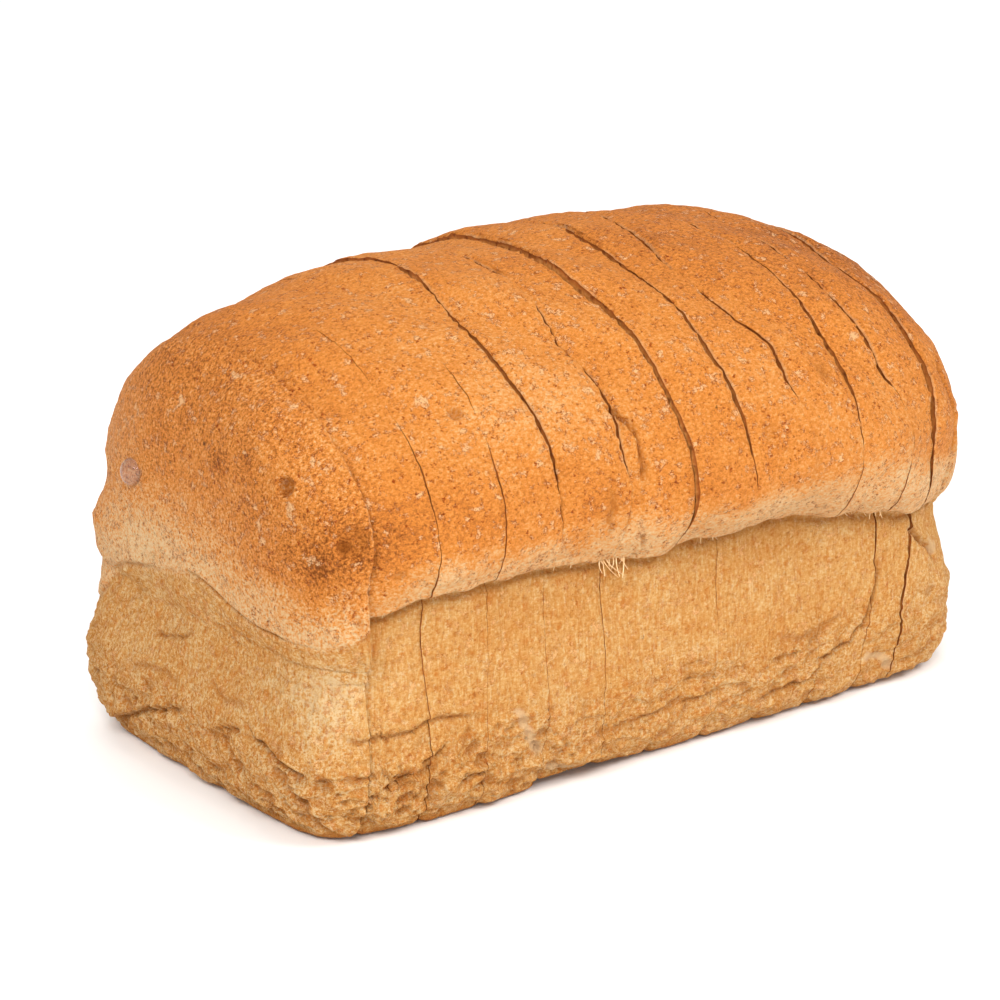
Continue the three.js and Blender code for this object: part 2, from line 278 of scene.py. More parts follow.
# How finely the crust is meshed: points round each wall and the crown, mm between rings along the loaf and
# beside a cut, rings on a heel, the extra share that bends get, and the samples these are worked out from
density = {
    "wall": 200, "crown": 368, "along": 0.52, "rim": [0, 0.10, 0.26, 0.5, 0.85], "heel": 96, "bend": 2.5,
    "heelBend": 1.5, "samples": 1441, "raySamples": 240, "lipReach": 50.0, "toPole": 0.985,
    # a heel's rings keep every so many points once they are smaller than a share of the loaf's section
    "section": 52, "thinning": [(0.5, 1), (0.25, 2), (0.12, 4), (0.0, 8)],
}


def sectionAngles(x):
    # Angles round the hub line for a section at each x: even along the crust, with the lips on fixed places
    fine = np.linspace(-np.pi / 2, 1.5 * np.pi, density["samples"])
    hub = slicing["hubHeight"]
    gx, ga = np.meshgrid(x, fine, indexing="ij")
    lip = lipAt(gx, np.cos(ga))
    r = reach((gx, 0 * gx, hub + 0 * gx), (0 * gx, np.cos(ga), np.sin(ga)), lip)
    y, z = r * np.cos(ga), hub + r * np.sin(ga)
    dy, dz = np.diff(y, axis=1), np.diff(z, axis=1)
    heading = np.unwrap(np.arctan2(dz, dy), axis=1)
    turn = np.abs(np.diff(heading, axis=1, prepend=heading[:, :1]))
    run = np.cumsum(np.hypot(dy, dz) + density["bend"] * turn, axis=1)
    run = np.pad(run, ((0, 0), (1, 0)))
    counts = (density["wall"], density["crown"], density["wall"])
    backLip = np.arctan2(lipAt(x, 1.0) - hub, density["lipReach"])
    frontLip = np.pi + np.arctan2(hub - lipAt(x, -1.0), density["lipReach"])
    result = []
    for i in range(len(x)):
        knots = np.interp([-np.pi / 2, backLip[i], frontLip[i], 1.5 * np.pi], fine, run[i])
        stops = [np.linspace(knots[k], knots[k + 1], counts[k], endpoint=False) for k in range(3)]
        result.append(np.interp(np.concatenate(stops), run[i], fine))
    return np.array(result)


def crustAt(x, angle):
    hub = slicing["hubHeight"]
    lip = lipAt(x, np.cos(angle))
    r = reach((x, 0 * x, hub + 0 * x), (0 * x, np.cos(angle), np.sin(angle)), lip)
    return np.stack([x, r * np.cos(angle), hub + r * np.sin(angle)], -1)


def sliceRings(number):
    # Crust of a slice as rings from its near cut to its far cut
    near, far = cutPlane(number - 1), cutPlane(number)
    rim = np.array(density["rim"])
    middle = np.linspace(rim[-1], far - near - rim[-1], int((far - near) / density["along"]) - 1)
    across = np.concatenate([rim[:-1], middle, (far - near - rim[:-1])[::-1]])
    angle = sectionAngles(near + across)
    share = (across / (far - near))[:, None]
    nearCut = np.array([wander(number - 1, a) for a in angle])
    farCut = np.array([wander(number, a) for a in angle])
    x = (near + across)[:, None] + blend(nearCut, farCut, share)
    return list(crustAt(x, angle)), [angle[0], angle[-1]]


def heelRings(cut, towards):
    # Crust of a heel as rings from its cut round the corner to the middle of its end
    hub = slicing["hubHeight"]
    angle = sectionAngles(np.array([cutPlane(cut)]))[0]
    cutX = cutPlane(cut) + wander(cut, angle)
    rim = crustAt(cutX, angle)
    rimReach = np.hypot(rim[:, 1], rim[:, 2] - hub)
    depth = (tin["endNear"] if towards < 0 else tin["endFar"]) - np.abs(cutX)
    out = rimReach - depth
    turned = np.linspace(0, 1, density["raySamples"])[:, None]
    tilt = np.pi / 2 - turned * (np.arctan2(out, depth) + np.pi / 2)
    start = (cutX + 0 * tilt, out * np.cos(angle) + 0 * tilt, hub + out * np.sin(angle) + 0 * tilt)
    ray = (towards * np.cos(tilt), np.sin(tilt) * np.cos(angle), np.sin(tilt) * np.sin(angle))
    lip = lipAt(start[0] + towards * 4, np.cos(angle) + 0 * tilt)
    if towards < 0:  # at the near corner the crown runs into the wall with no lip
        lip = np.where(np.cos(angle) < 0, lipLine["nearCorner"], lip)
    far = reach(start, ray, lip)
    points = np.stack([start[i] + ray[i] * far for i in range(3)], -1)
    step = np.linalg.norm(np.diff(points, axis=0), axis=2)
    unit = np.diff(points, axis=0) / np.maximum(step, tiny)[..., None]
    turn = np.pad(np.arccos(np.clip((unit[1:] * unit[:-1]).sum(2), -1, 1)), ((1, 0), (0, 0)))
    run = np.pad(np.cumsum(step + density["heelBend"] * turn, axis=0), ((1, 0), (0, 0)))
    beside = density["rim"]
    rings = np.zeros((len(beside) - 1 + density["heel"], len(angle), 3))
    for j in range(len(angle)):
        inner = np.linspace(beside[-1], density["toPole"] * run[-1, j], density["heel"])
        wanted = np.concatenate([beside[:-1], inner])
        for i in range(3):
            rings[:, j, i] = np.interp(wanted, run[:, j], points[:, j, i])
    middle = reach((cutPlane(cut), 0.0, float(hub)), (float(towards), 0.0, 0.0), np.array([crown["lip"]]))[0]
    pole = np.array([[cutPlane(cut) + towards * middle, 0.0, hub]])
    thinned = []
    for ring in rings:
        size = np.hypot(ring[:, 1], ring[:, 2] - hub).mean() / density["section"]
        keep = next(every for least, every in density["thinning"] if size > least)
        thinned.append(ring[::keep])
    return thinned + [pole], [angle]


# Marks on the crust, each on the uncut loaf's surface in mm
marks = {
    # creases on the front wall: x, z path, then width, depth and how far the dough above is raised
    "wallCreases": [
        ([(-81, 25.6), (-78, 23.6), (-73.5, 24.0), (-69.2, 23.4), (-64.7, 24.2), (-60, 24.6), (-55.2, 23.6),
          (-49.6, 22.5)], 0.5, 0.6, 0.7),
        ([(-64.5, 16.2), (-61, 17.4), (-58.2, 18.8)], 0.5, 1.1, 0.5),
        ([(-79.5, 16.4), (-77.8, 16.1), (-74.8, 16.7)], 0.5, 1.0, 0.4),
        ([(-73.3, 12.8), (-69.2, 13.7), (-65.2, 14.8)], 0.5, 1.0, 0.5),
        ([(-56, 9.0), (-51, 10.5), (-46.5, 9.8)], 0.5, 0.7, 0.4),
        ([(-12, 11.2), (-3.1, 12.2), (5.1, 11.9), (9.3, 11.3), (12.4, 12.9)], 0.6, 0.6, 0.35),
        ([(25, 8.2), (33.6, 8.4), (36.6, 7.9), (39.6, 9.8), (42.7, 12.0)], 0.6, 0.9, 0.5),
        ([(56.6, 33), (56.0, 28), (54.7, 23.1), (52.4, 17.4), (49.6, 13.6), (46.1, 12.9), (42.6, 12.9),
          (40.1, 12.2)], 0.55, 1.3, 0.6),
        ([(66.5, 36.5), (69.5, 33.6), (73, 30.8), (75.9, 27.0)], 0.55, 1.3, 0.6),
        ([(28, 20.5), (38, 19), (47, 21)], 0.8, 0.3, 0.25),
    ],
    # creases on the near end: y, z path, then the same
    "endCreases": [
        ([(36, 3.0), (28.5, 5.6), (18.8, 10.6), (11.8, 13.8), (4.7, 16.5), (-1.8, 18.0)], 0.6, 1.5, 0.9),
        ([(-12.5, 17.2), (-17.1, 19.4), (-20.9, 20.3)], 0.55, 1.3, 0.6),
        ([(-24.0, 21.2), (-29.7, 19.9), (-34.9, 18.0), (-39.5, 15.9)], 0.6, 1.8, 0.8),
        ([(14, 29.2), (9.7, 30.1), (4.4, 31.0), (0, 32.4)], 0.5, 0.8, 0.4),
        ([(-34.5, 15), (-38.5, 10.5), (-40.5, 6), (-41.5, 1)], 0.8, 1.0, 0.3),
        ([(20, 20), (12, 22.5), (3, 23)], 0.6, 0.5, 0.4),
        ([(-8, 26), (-14, 24.5), (-22, 25.5)], 0.6, 0.5, 0.35),
    ],
    # splits and wrinkles in the crown: places, then width, depth and rise
    "crownSplits": [
        ([(-16.8, -48.1, 81.1), (-15.3, -50.1, 79), (-13, -52.7, 76), (-13.4, -55.9, 69.6),
          (-14.8, -57, 64.3)], 0.42, 1.3, 0.35),
        ([(-22.1, -55.6, 66.9), (-21.4, -56.3, 63.2), (-22.2, -56.1, 58.8)], 0.7, 0.35, 0.3),
        ([(75.5, -43.5, 73.9), (73, -47.8, 71), (73.6, -49.9, 66.9), (74.2, -51.4, 62.6),
          (74.1, -52, 58.2)], 0.7, 1.0, 0.3),
        ([(-83.5, -44.5, 47.5), (-80.5, -47.5, 46.2), (-76.6, -49.5, 46.6)], 0.45, 0.5, 0.45),
        ([(36, -50, 79), (35, -53, 74), (33.5, -55.5, 69)], 1.6, 0.35, 0.2),
    ],
    # dents: place, radius, depth
    "dents": [
        ((-84.6, -32.6, 73.8), 1.9, 1.7), ((-79.0, -46.7, 65.6), 3.4, 1.2), ((-80.2, -46.0, 64.6), 1.3, 0.9),
        ((-49.2, -41.8, 84.2), 1.4, 0.9), ((16.5, -57.5, 70.5), 2.4, 0.6), ((-70, -51.5, 57.5), 1.6, 0.5),
    ],
    # broad swells that the oven left: place, radius, height
    "swells": [
        ((-82, 38, 78), 13, -0.4), ((-88, 43, 52), 7, 1.2), ((-64, 18, 92), 16, 0.5),
        ((-38, 18, 96), 14, 1.2), ((-86, 43, 38), 6, 1.0), ((-86, 42, 27), 4.5, -1.0),
        ((-86, 46, 12), 11, -0.9), ((-87, 0, 41), 9, 1.0), ((-84, -44, 22), 10, -0.5),
        ((59.5, -50, 17.5), 2.6, 1.1), ((64.5, -50, 14.5), 2.4, 1.0), ((56, -50, 15), 1.8, 0.7),
        ((84, -46, 10), 10, 0.4), ((86, -46, 33), 8, 0.7),
    ],
}

# How done the crust is, from 0 for pale lip through gold to 1 for brown: place, radius, change
bakes = [
    ((-83, -44, 60), 10, 0.24), ((-79, -46, 54), 8, 0.12), ((-72, -51, 54), 7, 0.08),
    ((-69, -50, 66), 11, 0.16), ((-48, -54, 65), 12, 0.10), ((-28, -56, 62), 11, 0.08),
    ((0, -58, 68), 12, 0.08), ((-86, -33, 55), 7, -0.05),
    ((-84, -8, 80), 24, 0.12), ((-70, 20, 90), 26, 0.16), ((40, -5, 99), 40, 0.20), ((82, -20, 80), 30, 0.22),
    ((20, -45, 82), 20, -0.02), ((-45, -42, 84), 22, -0.06), ((-25, -45, 80), 18, -0.06),
    ((-86, 20, 56), 20, -0.10), ((-80, -44, 35), 9, -0.18), ((-83, -41, 27), 7, -0.12),
    ((64, -55, 50), 14, -0.05), ((50, 50, 80), 30, 0.12), ((-20, 55, 70), 26, 0.12), ((89, 10, 70), 26, 0.12),
    ((-87.1, -13.7, 73.9), 2.6, 0.3), ((-83.7, -43.8, 60), 2.4, 0.28), ((-87, -33.2, 57), 2.0, 0.25),
    ((-85.9, -22.3, 76.6), 1.8, 0.2),
]

# Skin torn away: x, z path on the front wall, then width
tears = [
    ([(-40.3, 21.3), (-38.8, 17.5), (-36.2, 13.8), (-34.6, 10.2)], 0.9),
    ([(-31.9, 4.6), (-26.8, 4.2), (-20.1, 3.4)], 1.1),
    ([(55.5, 9.0), (59.5, 7.6), (62.5, 5.6)], 0.9),
    ([(73.2, 31.6), (75.6, 29.2)], 0.7),
]


def crustMarks(p, n):
    # Relief along the normal in mm, and what the finish needs to know about each point, with painted shade
    # for its hollows
    x, y, z = p.T
    end = smooth((np.abs(n[:, 0]) - 0.35) / 0.35) * smooth((np.abs(x) - 70) / 8)
    under = smooth((-n[:, 2] - 0.75) / 0.2) * smooth((8 - z) / 6)
    ledge = np.where(x < 0, np.interp(y, *zip(*endLedge["near"])), np.interp(y, *zip(*endLedge["far"])))
    above = z - blend(lipAt(x, y), ledge, end)
    isCrown = smooth((above + 0.5) / 5)
    wall = 1 - smooth((above + 1.5) / 2.5)
    low = smooth((26 + 4 * noise(p, 12, 5) - z) / 10) * (1 - under)
    busy = low * np.interp(x, [-60, -34, 0, 90], [1.1, 1.0, 0.75, 0.8])
    front = (y < 0) & (np.abs(x) < 84)

    # skin of the crown, then upright strands where the wall was drawn as the loaf rose
    skin = 0.24 * noise(p, 13, 1, 2) + 0.15 * noise(p, (5, 3, 3), 2, 2) + 0.10 * noise(p, 1.5, 3, 2)
    relief = isCrown * skin
    slanted = p + np.outer(z, (0, 0.3, 0)) * end[:, None]
    drawn = smooth((above + 30) / 24)
    relief += wall * 0.24 * noise(slanted, (1.4, 1.4, 12), 31, 2) * drawn
    relief += wall * 0.15 * noise(p, 3.0, 4, 2)
    # lumps, folds and pits low on the wall, where the dough sat against the tin
    pit, pick = cells(p, (4.4, 4.4, 3.0), 41)
    smallPit, smallPick = cells(p, (1.9, 1.9, 1.5), 47)
    pitted = busy * smooth((noise(p, 10, 6) + 0.8) / 0.7)
    pits = pitted * (0.85 * smooth((0.66 - pit) / 0.4) * smooth((pick - 0.3) / 0.4)
                     + 0.5 * smooth((0.5 - smallPit) / 0.3) * smooth((smallPick - 0.35) / 0.3))
    fold = 1 - np.abs(noise(p, (8, 8, 4.2), 33, 2))
    relief += busy * (0.5 * noise(p, (6.5, 6.5, 4.2), 7, 2) + 0.34 * noise(p, 2.1, 8, 2) - 1.15 * pits)
    relief += busy * 0.65 * smooth((fold - 0.72) / 0.28)
    stray = wall * (1 - low) * 0.22 * smooth((0.4 - smallPit) / 0.25) * smooth((smallPick - 0.74) / 0.1)
    relief -= stray
    # painted shade: pits and stray pores are marked to be coloured darker
    paintedShade = pits / 0.9 + stray / 0.3
    relief -= 0.9 * wall * (1 - end) * np.exp(-((above + 1.0) / 0.9) ** 2)
    rolled = 0.35 + 0.2 * noise(p, 3.5, 35, 2)
    relief += rolled * (1 - end) * np.exp(-((above - 1.0) / 0.7) ** 2)
    # the bottom edge: uneven, nicked at every cut and cut back beyond the step
    edge = smooth((9 - z) / 7) * (1 - under)
    toCut = np.abs((x - slicing["firstCut"] + 0.5 * slicing["thickness"]) % slicing["thickness"]
                   - 0.5 * slicing["thickness"])
    rounded = np.interp(x, [-60, 0, 45], [0.8, 0.4, 0.0])
    relief += edge * (0.42 * noise(p * np.array([1, 1, 0.15]), 4.6, 9, 2) - rounded)
    relief -= edge * 0.5 * smooth((0.35 - cells(p * np.array([1, 1, 0.1]), 7.5, 53)[0]) / 0.25)
    relief -= smooth((7 - z) / 6) * 0.8 * np.exp(-(toCut / 1.1) ** 2) * (np.abs(x) < 78)
    behindStep = smooth((x + 33) / 1.2) * smooth((6 - x) / 30) * (y < 0) * (1 - end)
    relief -= 1.5 * behindStep * smooth((6.5 - z) / 4)

    for mask, axes, key in ((front, (0, 2), "wallCreases"), ((x < -76) & (z < 50), (1, 2), "endCreases"),
                            (front & (z > 40), (0, 1, 2), "crownSplits")):
        stir = [noise(p[mask], 2.8, 61 + i, 2) for i in range(len(axes))]
        spots = p[mask][:, axes] + 0.6 * np.stack(stir, -1)
        for path, width, depth, raised in marks[key]:
            d, sign, share = along(spots, path)
            fade = 0.25 + 0.75 * smooth(share / 0.15) * smooth((1 - share) / 0.15)
            groove = np.exp(-(d / width) ** 2) * fade
            roll = np.exp(-((d - 2.2 * width) / (1.6 * width)) ** 2) * (sign > 0) * fade
            relief[mask] += raised * roll - depth * groove
            # painted shade along each crease's groove
            paintedShade[mask] += groove
    if (x < -76).any():
        d, sign, share = along(p[:, 1:], endLedge["near"])
        near = smooth((-x - 78) / 6) * end
        beside = np.stack([100 * share, d * sign, 0 * d], -1)
        broken = smooth((noise(beside, (6, 3, 1), 63, 2) + 0.5) / 0.7)
        relief += near * 0.3 * np.exp(-((d - 1.5) / 1.4) ** 2) * (sign > 0)
        relief -= near * 0.7 * np.exp(-(d / 0.6) ** 2) * broken
        strand = noise(beside, (8, 0.9, 1), 65, 2)
        relief += near * 0.3 * strand * np.exp(-((d * sign + 5) / 8) ** 2)
        # painted shade in the ledge's crease and between its strands
        paintedShade += near * (0.55 * np.exp(-(d / 0.55) ** 2) * broken
                          + 0.5 * smooth((-strand - 0.45) / 0.3) * np.exp(-((d * sign + 5) / 7) ** 2))
    for place, radius, depth in marks["dents"]:
        r = np.linalg.norm(p - np.array(place), axis=1) / radius
        relief += depth * (0.16 * np.exp(-((r - 1.25) / 0.3) ** 2) - smooth((1.2 - r) / 0.6))
        # painted shade in each dent, darker the deeper it is for its width
        paintedShade += min(1, 1.1 * depth / radius) * smooth((1.1 - r) / 0.4)
    for place, radius, height in marks["swells"]:
        relief += height * np.exp(-((p - np.array(place)) ** 2).sum(1) / radius ** 2)

    # done: how dark the crust has baked
    pale = np.interp(x, [-90, -60, -20, 20, 60, 90], [3, 2.5, 3, 5, 8, 7])
    frayed = 2.6 * noise(p, (9, 9, 5), 71, 2) + 0.9 * noise(p, 2, 73, 2)
    done = blend(0.15, 0.5, smooth((above - pale + frayed) / (11 + 6 * end * (x < 0))))
    done = blend(done, 0.27 - 0.01 * low + 0.05 * noise(p, 9, 79, 2), wall)
    for place, radius, change in bakes:
        r2 = ((p - np.array(place)) ** 2).sum(1) / radius ** 2
        done += change * np.exp(-r2)
    done += (0.06 * noise(p, 16, 75, 2) + 0.05 * noise(p, 5, 76, 2)) * isCrown
    done += 0.3 * under
    # painted shade: a streaky dark band on the walls just under the lip, where the lip's shadow falls
    underLipShadeStreaks = 0.75 + 0.5 * noise(slanted, (0.9, 0.9, 5), 77, 2)
    paintedShade += 0.7 * wall * (1 - end) * np.exp(-((above + 1.0) / 1.7) ** 2) * underLipShadeStreaks
    grit = blend(0.62, 1.0, smooth((-x - 68) / 10))
    grit = blend(grit, 0.42 + 0.3 * low + 0.35 * end * (x < 0), wall)

    skinned = 0 * x
    stir = 0.7 * np.stack([noise(p, 2.2, 81, 2), noise(p, 2.2, 83, 2)], -1)
    for path, width in tears:
        d = along(p[:, [0, 2]] + stir, path)[0]
        skinned = np.maximum(skinned, (1 - smooth((d - width + 0.3) / 0.8)) * (y < 0))
    relief += skinned * (0.3 * noise(p, 1.7, 85, 2) - 0.3)
    layers = {"done": np.clip(done, 0, 1), "wall": wall, "paintedShade": np.clip(paintedShade, 0, 1),
              "torn": skinned, "grit": grit}
    return relief, layers


def stitch(rings):
    # Triangles between neighbouring rings, which hold the same number of points, twice or half as many
    triangles = []
    for a, b in zip(rings[:-1], rings[1:]):
        flip = len(b) > len(a)
        if flip:
            a, b = b, a
        n, m = len(a), len(b)
        j = np.arange(m)
        if n == m:
            following = (j + 1) % n
            made = [(a[j], a[following], b[following]), (a[j], b[following], b[j])]
        elif m == 1:
            i = np.arange(n)
            made = [(a[i], a[(i + 1) % n], np.full(n, b[0]))]
        else:
            made = [(a[2 * j], a[2 * j + 1], b[j]), (a[2 * j + 1], b[(j + 1) % m], b[j]),
                    (a[2 * j + 1], a[(2 * j + 2) % n], b[(j + 1) % m])]
        for corners in made:
            corners = np.stack(corners, -1)
            triangles.append(corners[:, ::-1] if flip else corners)
    return np.concatenate(triangles)


def numbered(rings, first=0):
    # The points' numbers for rings stored one after another
    ends = first + np.cumsum([0] + [len(ring) for ring in rings])
    return [np.arange(*pair) for pair in zip(ends[:-1], ends[1:])]


def vertexNormals(points, triangles):
    a, b, c = (points[triangles[:, i]] for i in range(3))
    face = np.cross(b - a, c - a)
    total = [np.bincount(triangles.ravel(), np.repeat(face[:, i], 3), len(points)) for i in range(3)]
    total = np.stack(total, -1)
    return total / np.maximum(np.linalg.norm(total, axis=1, keepdims=True), tiny)


def makePiece(name, points, triangles, materials, materialOf=None, layers=None):
    # One mesh in metres with its own point layers
    mesh = bpy.data.meshes.new(name)
    mesh.from_pydata(points * mm, [], triangles)
    mesh.polygons.foreach_set("use_smooth", np.ones(len(triangles), bool))
    for material in materials:
        mesh.materials.append(material)
    if materialOf is not None:
        mesh.polygons.foreach_set("material_index", materialOf)
    for key, values in (layers or {}).items():
        mesh.attributes.new(key, "FLOAT", "POINT").data.foreach_set("value", values.astype(np.float32))
    mesh.update()
    mesh.set_sharp_from_angle(angle=math.radians(65))
    piece = bpy.data.objects.new(name, mesh)
    bpy.context.collection.objects.link(piece)
    return piece


def leanAfter(cut):
    opened = sum(slicing["openings"][:cut]) - sum(slicing["openings"]) / 2
    return (opened + slicing["wholeLean"]) / crown["ridge"]


def swellOf(index, base):
    # How far a point of the crust stands out from the hub line, and which way
    start = cutPlane(index - 1) if index else -tin["endNear"]
    across = np.clip((base[:, 0] - start) / slicing["thickness"], 0, 1)
    proud = stances[index][1] + stances[index][4] * across
    out = np.column_stack([np.zeros(len(base)), base[:, 1], base[:, 2] - slicing["hubHeight"]])
    out /= np.maximum(np.linalg.norm(out, axis=1, keepdims=True), tiny)
    swell = proud * smooth((base[:, 2] - slicing["proudFrom"]) / slicing["proudFade"])
    for length, depth, lag in slicing["waves"]:
        phase = 2 * np.pi * (base @ np.array([1, 0.6, 0.8])) / length + lag
        swell += depth * np.sin(phase) * smooth(base[:, 2] / tin["edgeRadius"])
    uneven = 0.08 + 0.2 * smooth((base[:, 2] - slicing["proudFrom"]) / 6)
    swell += uneven * noise(base, 11, 100 + index, 2) * smooth(base[:, 2] / tin["edgeRadius"])
    return out * swell[:, None]


def stand(index, points):
    # Sideways shift and lean of a piece, and the move to the shared origin
    placed = points.copy()
    placed[:, 1] += blend(stances[index][3], stances[index][2], smooth((placed[:, 2] - 44) / 10))
    placed[:, 0] += leanAfter(index) * placed[:, 2]
    placed[:, :2] += slicing["originShift"]
    placed[:, 2] = np.maximum(placed[:, 2], 0)
    return placed


def onLoaf(place):
    # Where a point of the uncut crust comes to lie once its slice stands in place, and the slice's number
    point = np.array([place], float)
    passed = math.ceil((place[0] - slicing["firstCut"]) / slicing["thickness"])
    index = min(max(passed, 0), slicing["count"] + 1)
    return stand(index, point + swellOf(index, point))[0], index


def hexColour(text):
    # sRGB hex to linear
    values = [int(text[i:i + 2], 16) / 255 for i in (1, 3, 5)]
    return tuple(v / 12.92 if v <= 0.04045 else ((v + 0.055) / 1.055) ** 2.4 for v in values) + (1.0,)


def addNode(tree, kind, inputs=(), stops=(), **settings):
    # One node with its settings, its input values or links by name or place, and a ramp's stops
    node = tree.nodes.new("ShaderNode" + kind)
    for key, value in settings.items():
        setattr(node, key, value)
    for key, value in inputs.items() if isinstance(inputs, dict) else enumerate(inputs):
        if isinstance(value, bpy.types.NodeSocket):
            tree.links.new(value, node.inputs[key])
        else:
            node.inputs[key].default_value = value
    for i, (place, colour) in enumerate(stops):
        element = node.color_ramp.elements[i] if i < 2 else node.color_ramp.elements.new(place)
        element.position = place
        element.color = hexColour(colour)
    return node


def newMaterial(name):
    material = bpy.data.materials.new(name)
    material.use_nodes = True
    tree = material.node_tree
    tree.nodes.clear()
    shader = addNode(tree, "BsdfPrincipled")
    addNode(tree, "OutputMaterial", {"Surface": shader.outputs[0]})
    return material, tree, shader


crustLook = {
    # by how done the skin is: the open crown, and the walls that the tin covered
    "crownColours": [(0.0, "#f6d09c"), (0.2, "#f2b87a"), (0.42, "#ee9a48"), (0.58, "#e48a38"),
                     (0.78, "#ca7632"), (1.0, "#8a4a18")],
    "wallColours": [(0.0, "#e1bf8e"), (0.2, "#d7a463"), (0.36, "#cd8f4a"), (0.52, "#c27d39"),
                    (1.0, "#9c5a28")],
    # the dark colour for painted shade in hollows and pores follows
    "bran": "#b87c42", "flake": "#fac890", "stain": "#bd6a24", "speck": "#2a1206", "hollowShade": "#a45c1e",
    "tornPale": "#dcba90",
    # pattern sizes in mm
    "grainSize": 0.62, "branSize": 1.0, "flakeSize": 2.1, "curlSize": 1.2, "stainSize": 1.7,
    "fibreSize": 0.6, "fray": 2.4, "bumpDepth": 1.4, "speckEdge": 0.2, "scarReach": 1.7,
    "grainContrast": 2.8, "roughCrown": 0.6, "roughWall": 0.85, "specular": 0.12, "ior": 1.45,
    # how strongly fibres show on the walls, marks fade there and flakes gather at the scars
    "fibreShare": 0.7, "wallFade": -0.55, "gathering": 0.13, "fleckSlope": -1.11, "poreSlope": -1.43,
    # each mark starts where its pattern passes one level and is full at the other
    "marks": {
        "fleck": (0.57, 0.68), "pore": (0.57, 0.86), "contour": (0.038, 0.0), "peak": (0.535, 0.573),
        "flake": (0.605, 0.64), "ring": (0.57, 0.603), "core": (0.6, 0.633), "stain": (0.56, 0.64),
    },
    # dark specks, and places where pale flakes gather, on the uncut crust in mm, then radius
    "specks": [
        ((-86.8, -8.5, 75.9), 0.5), ((-87.3, -25.1, 68.4), 0.35), ((-87.7, 2.1, 69), 0.35),
        ((-80.6, -9.6, 86.8), 0.4), ((34.6, -18.1, 97.4), 0.4), ((5.8, -54.3, 77.4), 0.35),
        ((47.8, -54.8, 74.4), 0.4), ((29.3, -38.9, 89.9), 0.32), ((34, -47.9, 83.6), 0.35),
        ((-56, -50.4, 33), 0.3), ((-44.6, -50.6, 35), 0.25), ((-8, -50.4, 29), 0.35),
        ((12, -50.8, 10), 0.35), ((-79.4, -47.8, 12.5), 0.5),
    ],
    "scars": [
        ((-84.8, 1.9, 81.3), 1.5), ((-77.1, -25.5, 85.9), 1.6), ((-73.2, -46.6, 71.8), 1.3),
        ((-85.1, -35, 70.1), 1.6), ((-42.5, -21.1, 95.8), 1.2), ((-38.2, -10.9, 98.7), 1.0),
        ((-66.3, -27.4, 89.6), 1.5), ((-54.6, -37.6, 86.4), 1.2), ((-71.6, -39.9, 80), 1.4),
        ((-50, -47.1, 79), 1.3), ((-29.5, -33.7, 91.2), 1.2), ((-19.8, -45.1, 83.8), 1.5),
        ((-23.3, -53.2, 73), 1.1), ((9.8, -25.1, 96.3), 1.0), ((29.1, -29.1, 94.4), 1.0),
        ((15.8, -48.4, 84), 1.2), ((49, -46.9, 82.4), 1.1), ((-87.4, -29.4, 62.8), 1.3),
        ((-84.4, -42.6, 61.5), 1.4),
    ],
}


